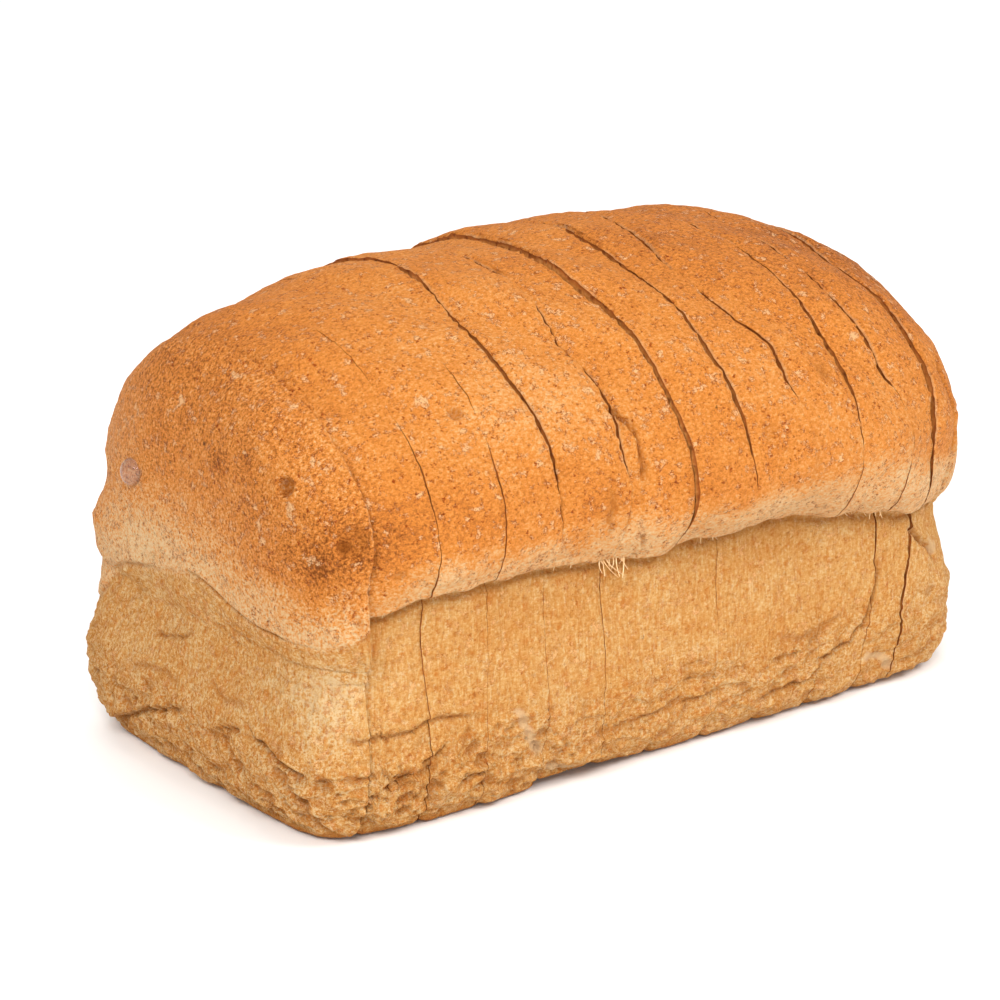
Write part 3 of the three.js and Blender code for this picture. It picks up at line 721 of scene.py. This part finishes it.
def bakedCrust(name, look):
    # Baked wheat crust: a thin dry skin, satin where it browned, dull and porous where the tin held it
    material, tree, shader = newMaterial(name)
    where = addNode(tree, "TexCoord").outputs["Object"]
    layer = {}
    for key in ("done", "wall", "paintedShade", "torn", "worn", "grit"):
        layer[key] = addNode(tree, "Attribute", attribute_name=key).outputs["Fac"]

    # wrinkled skin: fine strokes that run a little along the loaf, which also fray the edges of the flecks
    strokes = addNode(tree, "Mapping", {"Vector": where, "Scale": (0.75, 1.0, 1.0)}).outputs[0]
    grain = addNode(tree, "TexNoise", {"Vector": strokes, "Scale": 1 / (look["grainSize"] * mm),
                                       "Detail": 4.0, "Roughness": 0.8}).outputs
    offset = addNode(tree, "VectorMath", (grain[1], (0.5, 0.5, 0.5)), operation="SUBTRACT").outputs[0]
    fray = addNode(tree, "VectorMath", {0: offset, "Scale": look["fray"] * mm}, operation="SCALE").outputs[0]
    frayed = addNode(tree, "VectorMath", (where, fray), operation="ADD").outputs[0]
    upright = addNode(tree, "Mapping", {"Vector": where, "Scale": (1.0, 1.0, 0.16)}).outputs[0]
    fibre = addNode(tree, "TexNoise", {"Vector": upright, "Scale": 1 / (look["fibreSize"] * mm),
                                       "Detail": 3.0, "Roughness": 0.65}).outputs[0]
    noises = {}
    for key, place, detail, uneven in (("curl", where, 2.0, 0.5), ("flake", frayed, 3.0, 0.7),
                                       ("stain", frayed, 2.0, 0.7)):
        noises[key] = addNode(tree, "TexNoise", {"Vector": place, "Scale": 1 / (look[key + "Size"] * mm),
                                                 "Detail": detail, "Roughness": uneven}).outputs[0]

    # tone: how done the skin is, stirred by its grain and on the walls by the drawn fibres
    contrast = addNode(tree, "Math", (layer["grit"], look["grainContrast"]), operation="MULTIPLY").outputs[0]
    centred = addNode(tree, "Math", (grain[0], 0.5), operation="SUBTRACT").outputs[0]
    shade = addNode(tree, "Math", (centred, contrast), operation="MULTIPLY").outputs[0]
    drawn = addNode(tree, "Math", (fibre, 0.5), operation="SUBTRACT").outputs[0]
    drawnShare = addNode(tree, "Math", (layer["wall"], look["fibreShare"]), operation="MULTIPLY").outputs[0]
    tone = addNode(tree, "Math", (drawn, drawnShare, layer["done"]), operation="MULTIPLY_ADD").outputs[0]
    tone = addNode(tree, "Math", (tone, shade), operation="ADD").outputs[0]
    crownColour = addNode(tree, "ValToRGB", (tone,), look["crownColours"]).outputs[0]
    wallColour = addNode(tree, "ValToRGB", (tone,), look["wallColours"]).outputs[0]
    colour = addNode(tree, "Mix", {0: layer["wall"], 6: crownColour, 7: wallColour},
                     data_type="RGBA").outputs[2]

    # bran: small flecks in some of the cells of a scattered pattern; others are pores in the wall
    bran = addNode(tree, "TexVoronoi", {"Vector": frayed, "Scale": 1 / (look["branSize"] * mm)}).outputs
    pick = addNode(tree, "SeparateColor", (bran["Color"],)).outputs
    inFleck = addNode(tree, "Math", (bran["Distance"], look["fleckSlope"], pick[0]),
                      operation="MULTIPLY_ADD").outputs[0]
    inPore = addNode(tree, "Math", (bran["Distance"], look["poreSlope"], pick[1]),
                     operation="MULTIPLY_ADD").outputs[0]
    # curls: short bent strokes along the middle contour of one noise, where another one peaks
    offContour = addNode(tree, "Math", (noises["curl"], 0.5), operation="SUBTRACT").outputs[0]
    offContour = addNode(tree, "Math", (offContour,), operation="ABSOLUTE").outputs[0]
    # flakes: pale torn bits of skin with a browned rim, which gather round the scars; specks: dark grains
    # both begin at nothing and take the nearest place's share
    gather, specks = 0.0, 0.0
    for place, radius in look["scars"]:
        away = addNode(tree, "VectorMath", (where, onLoaf(place)[0] * mm), operation="DISTANCE").outputs[1]
        nearer = addNode(tree, "MapRange", {"Value": away, "From Min": look["scarReach"] * radius * mm,
                                            "From Max": 0.0}).outputs[0]
        gather = addNode(tree, "Math", (gather, nearer), operation="MAXIMUM").outputs[0]
    for place, radius in look["specks"]:
        away = addNode(tree, "VectorMath", (frayed, onLoaf(place)[0] * mm), operation="DISTANCE").outputs[1]
        nearer = addNode(tree, "MapRange", {"Value": away, "From Min": radius * mm,
                                            "From Max": (radius - look["speckEdge"]) * mm}).outputs[0]
        specks = addNode(tree, "Math", (specks, nearer), operation="MAXIMUM").outputs[0]
    ripe = addNode(tree, "Math", (gather, look["gathering"], noises["flake"]),
                   operation="MULTIPLY_ADD").outputs[0]

    patterns = {"fleck": inFleck, "pore": inPore, "contour": offContour, "peak": noises["flake"],
                "flake": ripe, "ring": ripe, "core": ripe, "stain": noises["stain"]}
    mark = {}
    for key, (begins, full) in look["marks"].items():
        mark[key] = addNode(tree, "MapRange", {"Value": patterns[key], "From Min": begins,
                                               "From Max": full}).outputs[0]
    rim = addNode(tree, "Math", (mark["ring"], mark["core"]), operation="SUBTRACT").outputs[0]
    onWall = addNode(tree, "Math", (layer["wall"], look["wallFade"], 1.0),
                     operation="MULTIPLY_ADD").outputs[0]
    # among these marks, the hollows and the wall's pores are mixed towards a dark colour as painted shade
    for amount, fill, sockets in (
            (0.55, "stain", (mark["stain"], layer["wall"])), (0.8, "flake", (mark["flake"], onWall)),
            (0.7, "bran", (rim, onWall)), (1.0, "bran", (mark["contour"], mark["peak"], onWall)),
            (1.0, "bran", (mark["fleck"], onWall)), (0.9, "speck", (specks,)),
            (0.5, "hollowShade", (layer["paintedShade"],)), (0.3, "hollowShade", (mark["pore"], layer["wall"])),
            (1.2, "tornPale", (layer["torn"], grain[0])), (0.4, "flake", (layer["worn"],))):
        share = amount
        for socket in sockets:
            share = addNode(tree, "Math", (socket, share), operation="MULTIPLY").outputs[0]
        # bran lies in the skin and darkens it like a filter; the other marks cover it
        colour = addNode(tree, "Mix", {0: share, 6: colour, 7: hexColour(look[fill])}, data_type="RGBA",
                         blend_type="MULTIPLY" if fill == "bran" else "MIX").outputs[2]

    # relief too fine for the mesh: wrinkles on the crown, upright fibres on the walls
    ridged = addNode(tree, "Math", (fibre, grain[0]), operation="ADD").outputs[0]
    ridged = addNode(tree, "Math", (ridged, 0.6), operation="MULTIPLY").outputs[0]
    height = addNode(tree, "Mix", {0: layer["wall"], 2: grain[0], 3: ridged}).outputs[0]
    bump = addNode(tree, "Bump", {"Height": height, "Strength": 1.0, "Distance": look["bumpDepth"] * mm})
    rough = addNode(tree, "Mix", {0: layer["wall"], 2: look["roughCrown"], 3: look["roughWall"]}).outputs[0]
    rough = addNode(tree, "Math", (shade, 0.2, rough), operation="MULTIPLY_ADD", use_clamp=True).outputs[0]
    tree.links.new(colour, shader.inputs["Base Color"])
    tree.links.new(rough, shader.inputs["Roughness"])
    tree.links.new(bump.outputs[0], shader.inputs["Normal"])
    shader.inputs["IOR"].default_value = look["ior"]
    shader.inputs["Specular IOR Level"].default_value = look["specular"]
    return material


crumbLook = {
    "colours": [(0.25, "#9c5c22"), (0.5, "#bd7a38"), (0.75, "#dda05c")],
    # the first colour is painted shade for the crumb's holes
    "holeShade": "#6a3410", "holeSize": 1.7, "holeFrom": 0.42, "holeFull": 0.2, "holeDepth": -0.7,
    "crustBand": "#7e3a0c", "bandFrom": 1.76, "bandFull": 0.2,
    "grainSize": 1.2, "bumpDepth": 0.3, "roughness": 0.9, "specular": 0.2,
}


def openCrumb(name, look):
    # Wholemeal crumb, sawn: soft, matt, full of small holes darkened with painted shade, with the crust as a
    # browner band at its edge
    material, tree, shader = newMaterial(name)
    where = addNode(tree, "TexCoord").outputs["Object"]
    depth = addNode(tree, "Attribute", attribute_name="depthIn").outputs["Fac"]
    grain = addNode(tree, "TexNoise", {"Vector": where, "Scale": 1 / (look["grainSize"] * mm),
                                       "Detail": 4.0, "Roughness": 0.7}).outputs[0]
    colour = addNode(tree, "ValToRGB", (grain,), look["colours"]).outputs[0]
    holes = addNode(tree, "TexVoronoi", {"Vector": where, "Scale": 1 / (look["holeSize"] * mm)}).outputs[0]
    inHole = addNode(tree, "MapRange", {"Value": holes, "From Min": look["holeFrom"],
                                        "From Max": look["holeFull"]}).outputs[0]
    band = addNode(tree, "MapRange", {"Value": depth, "From Min": look["bandFrom"],
                                      "From Max": look["bandFull"]}).outputs[0]
    # the holes get painted shade; the crust band is the crust's own colour
    for amount, fill, cover in ((0.6, "holeShade", inHole), (0.8, "crustBand", band)):
        share = addNode(tree, "Math", (cover, amount), operation="MULTIPLY").outputs[0]
        colour = addNode(tree, "Mix", {0: share, 6: colour, 7: hexColour(look[fill])},
                         data_type="RGBA").outputs[2]
    height = addNode(tree, "Math", (inHole, look["holeDepth"], grain), operation="MULTIPLY_ADD").outputs[0]
    bump = addNode(tree, "Bump", {"Height": height, "Strength": 1.0, "Distance": look["bumpDepth"] * mm})
    tree.links.new(colour, shader.inputs["Base Color"])
    tree.links.new(bump.outputs[0], shader.inputs["Normal"])
    shader.inputs["Roughness"].default_value = look["roughness"]
    shader.inputs["Specular IOR Level"].default_value = look["specular"]
    return material


crust = bakedCrust("bakedWheatCrust", crustLook)
crumb = openCrumb("openWheatCrumb", crumbLook)
print("materials made")


def gapeAt(cut, side, angle):
    # How far each side of a cut stands back at the crust, with torn, uneven edges
    arc = np.stack([angle * slicing["arcRadius"], np.full_like(angle, cut * 17.0), 0 * angle + 40 * side], -1)
    uneven = 0.95 + 0.4 * noise(arc, 9, 91, 2) + 0.75 * noise(arc, 1.5, 93, 2)
    return np.maximum(0.5 * roundHub(angle, cuts[cut]["open"], 0.1) * uneven, 0)


# The sawn faces, in mm: how deep under the crust a gape closes and a bowed face turns flat, the gap that
# keeps two faces apart, the blade's width, and how much a rim is rounded off, worn pale and drawn in
sawing = {
    "closesAt": 2.6, "flatAt": 25, "clearance": 0.05, "kerf": 0.03, "kerfDepth": 3, "rimRound": 0.05,
    "gapeRound": 0.4, "wornWidth": 0.5, "plump": 0.6, "plumpWidth": 3.2, "plumpRings": 10, "middle": 46,
    "hubDepth": 50.0,
    # rings of the cut face: depth under the crust, and how many of the rim's points each keeps
    "rings": [(0.12, 1), (0.35, 1), (0.7, 1), (1.2, 1), (2.0, 2), (3.4, 2), (6.0, 4), (10.0, 8), (17.0, 16),
              (27.0, 16), (38.0, 32)],
}


def cutFace(cut, side, rim, gape):
    # Sawn crumb from the crust's rim to the hub line, as rings: places and depths
    hub = np.array([0, slicing["hubHeight"]], float)
    plane = cutPlane(cut) + side * sawing["clearance"]
    toHub = hub - rim[:, 1:]
    reachIn = np.linalg.norm(toHub, axis=1)
    rings, depths = [], []
    for depth, keep in sawing["rings"]:
        pick = slice(None, None, keep)
        share = np.minimum(depth / reachIn[pick], depth / sawing["middle"])
        place = rim[pick, 1:] + toHub[pick] * share[:, None]
        x = rim[pick, 0] - side * gape[pick] * smooth(depth / sawing["closesAt"])
        x = blend(x, plane, smooth(depth / sawing["flatAt"]))
        ring = np.column_stack([x, place])
        rough = 0.1 + 0.3 * noise(ring, 1.5, 95, 2)
        ring[:, 0] += side * np.maximum(rough, 0) * smooth(depth / 0.8)
        rings.append(ring)
        depths.append(np.full(len(ring), float(depth)))
    rings.append(np.array([[plane, 0, hub[1]]]))
    depths.append(np.array([sawing["hubDepth"]]))
    return rings, depths


def dressPiece(index):
    # One slice or heel: crust with its marks, cut faces, then its own stance
    last = slicing["count"] + 1
    if index in (0, last):
        towards = -1 if index == 0 else 1
        sides = [(0 if index == 0 else slicing["count"], towards)]
        crustRings, rimAngles = heelRings(sides[0][0], towards)
    else:
        sides = [(index - 1, 1), (index, -1)]
        crustRings, rimAngles = sliceRings(index)
    ringIds = numbered(crustRings)
    base = np.concatenate(crustRings)
    triangles = stitch(ringIds)
    normals = vertexNormals(base, triangles)
    if (normals * (base - np.array([base[:, 0].mean(), 0, slicing["hubHeight"]]))).sum() < 0:
        triangles, normals = triangles[:, ::-1], -normals
    relief, layers = crustMarks(base, normals)
    points = base + normals * relief[:, None]
    layers["worn"] = np.zeros(len(base))

    # each rim is set back by how far its cut gapes, its sharp edge rounded off and worn pale
    for number, ((cut, side), angle) in enumerate(zip(sides, rimAngles)):
        inwards = ringIds if number == 0 else ringIds[::-1]
        gape = gapeAt(cut, side, angle)
        parted = smooth(gape / 0.08)
        edge = 0.02 + sawing["rimRound"] * parted + sawing["gapeRound"] * gape
        for ids, step in zip(inwards, density["rim"]):
            back = np.clip(1 - step / (edge * 2), 0, 1)
            points[ids] -= normals[ids] * (edge * (1 - np.sqrt(1 - back ** 2)))[:, None]
            drawBack = (gape + sawing["kerf"] * parted) * np.clip(1 - step / sawing["kerfDepth"], 0, 1)
            points[ids, 0] += side * drawBack
            patchy = smooth((noise(base[ids], 6, 97, 2) + 0.35) / 0.5) * smooth(gape / 0.3)
            layers["worn"][ids] = np.clip(1 - step / sawing["wornWidth"], 0, 1) * patchy
        plump = sawing["plump"] * np.clip(gape / 0.3, 0.15, 1) * smooth((base[ids, 2] - 50) / 14)
        for ids in inwards[:min(len(ringIds) // 2, sawing["plumpRings"])]:
            step = np.abs(base[ids, 0] - base[inwards[0], 0])
            fall = np.clip(1 - step / sawing["plumpWidth"], 0, 1) ** 2
            points[ids] -= normals[ids] * (plump * fall)[:, None]
    points += swellOf(index, base)

    allPoints, depthIn, faces = [points], [np.zeros(len(points))], [triangles]
    materialOf = [np.zeros(len(triangles), int)]
    total = len(points)
    for number, ((cut, side), angle) in enumerate(zip(sides, rimAngles)):
        rimIds = ringIds[0 if number == 0 else -1]
        capRings, capDepths = cutFace(cut, side, points[rimIds], gapeAt(cut, side, angle))
        capFaces = stitch([rimIds] + numbered(capRings, total))
        total += sum(len(ring) for ring in capRings)
        allPoints += capRings
        depthIn += capDepths
        merged = np.concatenate(allPoints)
        a, b, c = (merged[capFaces[:, i]] for i in range(3))
        if np.cross(b - a, c - a)[:, 0].sum() * side > 0:
            capFaces = capFaces[:, ::-1]
        faces.append(capFaces)
        materialOf.append(np.ones(len(capFaces), int))
    points = np.concatenate(allPoints)
    for cut, side in sides:  # the lean opens a wedge at each cut, which soft slices fill again
        angle = np.arctan2(points[:, 2] - slicing["hubHeight"], points[:, 1])
        away = np.abs(points[:, 0] - cutPlane(cut) - roundHub(angle, cuts[cut]["path"], 0))
        wedge = 0.5 * slicing["openings"][cut] * points[:, 2] / crown["ridge"]
        points[:, 0] -= side * wedge * np.clip(1 - away / slicing["softFor"], 0, 1)
    for key in layers:
        layers[key] = np.concatenate([layers[key], np.zeros(total - len(base))])
    layers["depthIn"] = np.concatenate(depthIn)
    name = stances[index][0]
    piece = makePiece("crust_" + name, stand(index, points), np.concatenate(faces), [crust, crumb],
                      np.concatenate(materialOf), layers)
    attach(piece, "root")
    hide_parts(name)
    return piece


dressed = [dressPiece(index) for index in range(slicing["count"] + 2)]
print("slices and heels made,", sum(len(piece.data.polygons) for piece in dressed), "triangles")

# One drop of water that clings to the near end: its place on the uncut crust, how its middle sags, how it
# leans from the skin, and how far round its profile goes, in half turns
drop = {
    "place": (-87.6, 15.8, 63.8), "radius": 3.1, "height": 2.5, "sunk": 0.3, "sag": 0.25, "foot": 0.3,
    "lean": (-1.2, -0.2, 0.1), "round": 0.54, "rings": 14, "sides": 40, "colour": "#f4e6dc",
    "look": {"Roughness": 0.04, "IOR": 1.33, "Specular IOR Level": 1.0, "Transmission Weight": 0.93},
}


def clearWater(name):
    # Still water on crust: clear and glossy, a little clouded by the flour it took up
    material, tree, shader = newMaterial(name)
    shader.inputs["Base Color"].default_value = hexColour(drop["colour"])
    for key, value in drop["look"].items():
        shader.inputs[key].default_value = value
    return material


def makeDrop():
    place, index = onLoaf(drop["place"])
    nearest = dressed[index].closest_point_on_mesh(Vector(place * mm))
    place = np.array(nearest[1]) / mm
    outward = np.array(nearest[2]) + np.array(drop["lean"])
    outward /= np.linalg.norm(outward)
    up = np.array([0, 0, 1.0]) - outward * outward[2]
    up /= np.linalg.norm(up)
    across = np.cross(up, outward)
    turn = np.linspace(0, 2 * np.pi, drop["sides"], endpoint=False)
    bulge = 1 + 0.05 * np.sin(2 * turn + 0.6) + 0.03 * np.sin(3 * turn)
    rings = []
    for share in np.linspace(0, 1, drop["rings"])[1:]:  # from its top to its foot, then a little under it
        tilt = share * drop["round"] * math.pi
        r = drop["radius"] * math.sin(tilt) * bulge
        h = drop["height"] * math.cos(tilt) - drop["sunk"]
        sag = drop["sag"] * (share - 1)
        rings.append(place + np.outer(r * np.cos(turn), across) + np.outer(r * np.sin(turn) + sag, up)
                     + outward * h)
    top = place + outward * (drop["height"] - drop["sunk"]) - drop["sag"] * up
    foot = place - outward * (drop["sunk"] + drop["foot"])
    allRings = [top[None]] + rings + [foot[None]]
    points = np.concatenate(allRings)
    triangles = stitch(numbered(allRings))
    normals = vertexNormals(points, triangles)
    if (normals * (points - place)).sum() < 0:
        triangles = triangles[:, ::-1]
    piece = makePiece("waterDrop", points, triangles, [clearWater("clearWater")])
    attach(piece, "root")


makeDrop()
print("drop made")

# Torn strands of crumb that hang from the lip
strands = {
    # x range, how many, length in mm
    "groups": [((-20.5, -14.5), 14, 3.6), ((-38, -24), 4, 1.4), ((2, 22), 5, 1.2), ((43, 56), 10, 1.8),
               ((-74, -60), 4, 1.2)],
    # where they hang: how far below the lip, in front of the hub line and out from the crust
    "below": 0.9, "ahead": 52, "start": (0, 0.35, 0.2),
    # how their lengths vary, and how they sway and curl
    "vary": (0.45, 1.25), "sway": 0.3, "curl": 0.45, "curlShare": (1, 0.4, 0.3),
    "radius": 0.15, "steps": 7, "sides": 5, "seed": 12,
    "colours": [(0.3, "#d9a76c"), (0.7, "#f0d3a4")], "tintSize": 2.0, "roughness": 0.85,
}


def paleStrand(name):
    # Strands of soft crumb: pale, matt and thin enough to let a little light through
    material, tree, shader = newMaterial(name)
    where = addNode(tree, "TexCoord").outputs["Object"]
    tint = addNode(tree, "TexNoise", {"Vector": where, "Scale": 1 / (strands["tintSize"] * mm),
                                      "Detail": 2.0})
    colour = addNode(tree, "ValToRGB", {"Fac": tint.outputs["Fac"]}, strands["colours"])
    tree.links.new(colour.outputs[0], shader.inputs["Base Color"])
    shader.inputs["Roughness"].default_value = strands["roughness"]
    return material


def makeStrands():
    rng = np.random.default_rng(strands["seed"])
    points, triangles = [], []
    total = 0
    for (low, high), count, length in strands["groups"]:
        for number in range(count):
            x = rng.uniform(low, high)
            lip = lipAt(np.array([x]), np.array([-50.0]))[0]
            angle = np.pi + math.atan2(slicing["hubHeight"] - lip - strands["below"], strands["ahead"])
            root, index = onLoaf(crustAt(np.array([x]), np.array([angle]))[0])
            long = length * rng.uniform(*strands["vary"])
            sway = strands["sway"]
            heading = np.array([rng.normal(0, sway), rng.uniform(-sway, sway), -1.0])
            curl = rng.normal(0, strands["curl"], 3) * np.array(strands["curlShare"])
            spine = []
            for step in range(strands["steps"]):
                t = step / (strands["steps"] - 1)
                spine.append(root + np.array(strands["start"]) + long * (heading * t + curl * t * t))
            spine = np.array(spine)
            turn = np.linspace(0, 2 * np.pi, strands["sides"], endpoint=False)
            rings = [spine[0][None]]
            for step, centre in enumerate(spine):
                thin = strands["radius"] * (1.3 - 0.9 * step / (strands["steps"] - 1))
                rings.append(centre + thin * np.column_stack([np.cos(turn), np.sin(turn), 0 * turn]))
            rings.append(spine[-1][None])
            triangles.append(stitch(numbered(rings, total)))
            total += sum(len(ring) for ring in rings)
            points += rings
    piece = makePiece("crumbStrands", np.concatenate(points), np.concatenate(triangles),
                      [paleStrand("paleCrumbStrand")])
    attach(piece, "root")


makeStrands()
print("strands made")

# Floor, light and camera: the floor and lamps in m, the camera in mm and radians
studio = {
    "floor": "#f6f5f3", "floorHalf": 6, "floorLevel": -0.0001, "world": 0.62,
    "lens": 131.06, "sensor": 36, "azimuth": 0.6519, "elevation": 0.3406, "distance": 781.48,
    "lookAt": (-6.44, 0.0, 45.17), "shift": (-0.0012, -0.0011),
    "lamps": [  # place, size, watts
        ((-0.95, -0.45, 0.95), 0.42, 7.5), ((-0.65, -0.85, 0.9), 0.42, 7.5), ((0.5, -0.9, 1.0), 0.6, 10.0),
        ((0.1, 0.4, 1.4), 1.0, 6.0), ((0.0, -1.1, 0.2), 0.6, 1.2),
    ],
}
floorMesh = bpy.data.meshes.new("studioFloor")
half, level = studio["floorHalf"], studio["floorLevel"]
corners = [(-half, -half, level), (half, -half, level), (half, half, level), (-half, half, level)]
floorMesh.from_pydata(corners, [], [(0, 1, 2, 3)])
floor = bpy.data.objects.new("studioFloor", floorMesh)
bpy.context.collection.objects.link(floor)
floorPaint, floorTree, floorShader = newMaterial("paintedBoard")  # matt white paint
floorShader.inputs["Base Color"].default_value = hexColour(studio["floor"])
floorShader.inputs["Roughness"].default_value = 0.9
floorMesh.materials.append(floorPaint)

world = bpy.data.worlds.new("studioAir")
bpy.context.scene.world = world
world.use_nodes = True
sky = world.node_tree.nodes["Background"]
sky.inputs[0].default_value = (1, 1, 1, 1)
sky.inputs[1].default_value = studio["world"]
for number, (place, size, watts) in enumerate(studio["lamps"]):
    light = bpy.data.lights.new("softBox%d" % number, "AREA")
    light.shape = "DISK"
    light.size = size
    light.energy = watts
    lamp = bpy.data.objects.new("softBox%d" % number, light)
    lamp.location = place
    lamp.rotation_euler = (Vector((0, 0, 0.05)) - Vector(place)).to_track_quat("-Z", "Y").to_euler()
    bpy.context.collection.objects.link(lamp)

azimuth, elevation = studio["azimuth"], studio["elevation"]
forward = Vector((math.sin(azimuth) * math.cos(elevation), math.cos(azimuth) * math.cos(elevation),
                  -math.sin(elevation)))
lookAt = Vector(studio["lookAt"]) + Vector((slicing["originShift"][0], slicing["originShift"][1], 0))
cameraData = bpy.data.cameras.new("camera")
cameraData.lens = studio["lens"]
cameraData.sensor_width = studio["sensor"]
cameraData.shift_x, cameraData.shift_y = studio["shift"]
cameraData.clip_end = 20
camera = bpy.data.objects.new("camera", cameraData)
camera.location = (lookAt - forward * studio["distance"]) * mm
camera.rotation_euler = forward.to_track_quat("-Z", "Y").to_euler()
bpy.context.collection.objects.link(camera)
bpy.context.scene.camera = camera
bpy.context.scene.view_settings.view_transform = "Standard"
print("studio made")
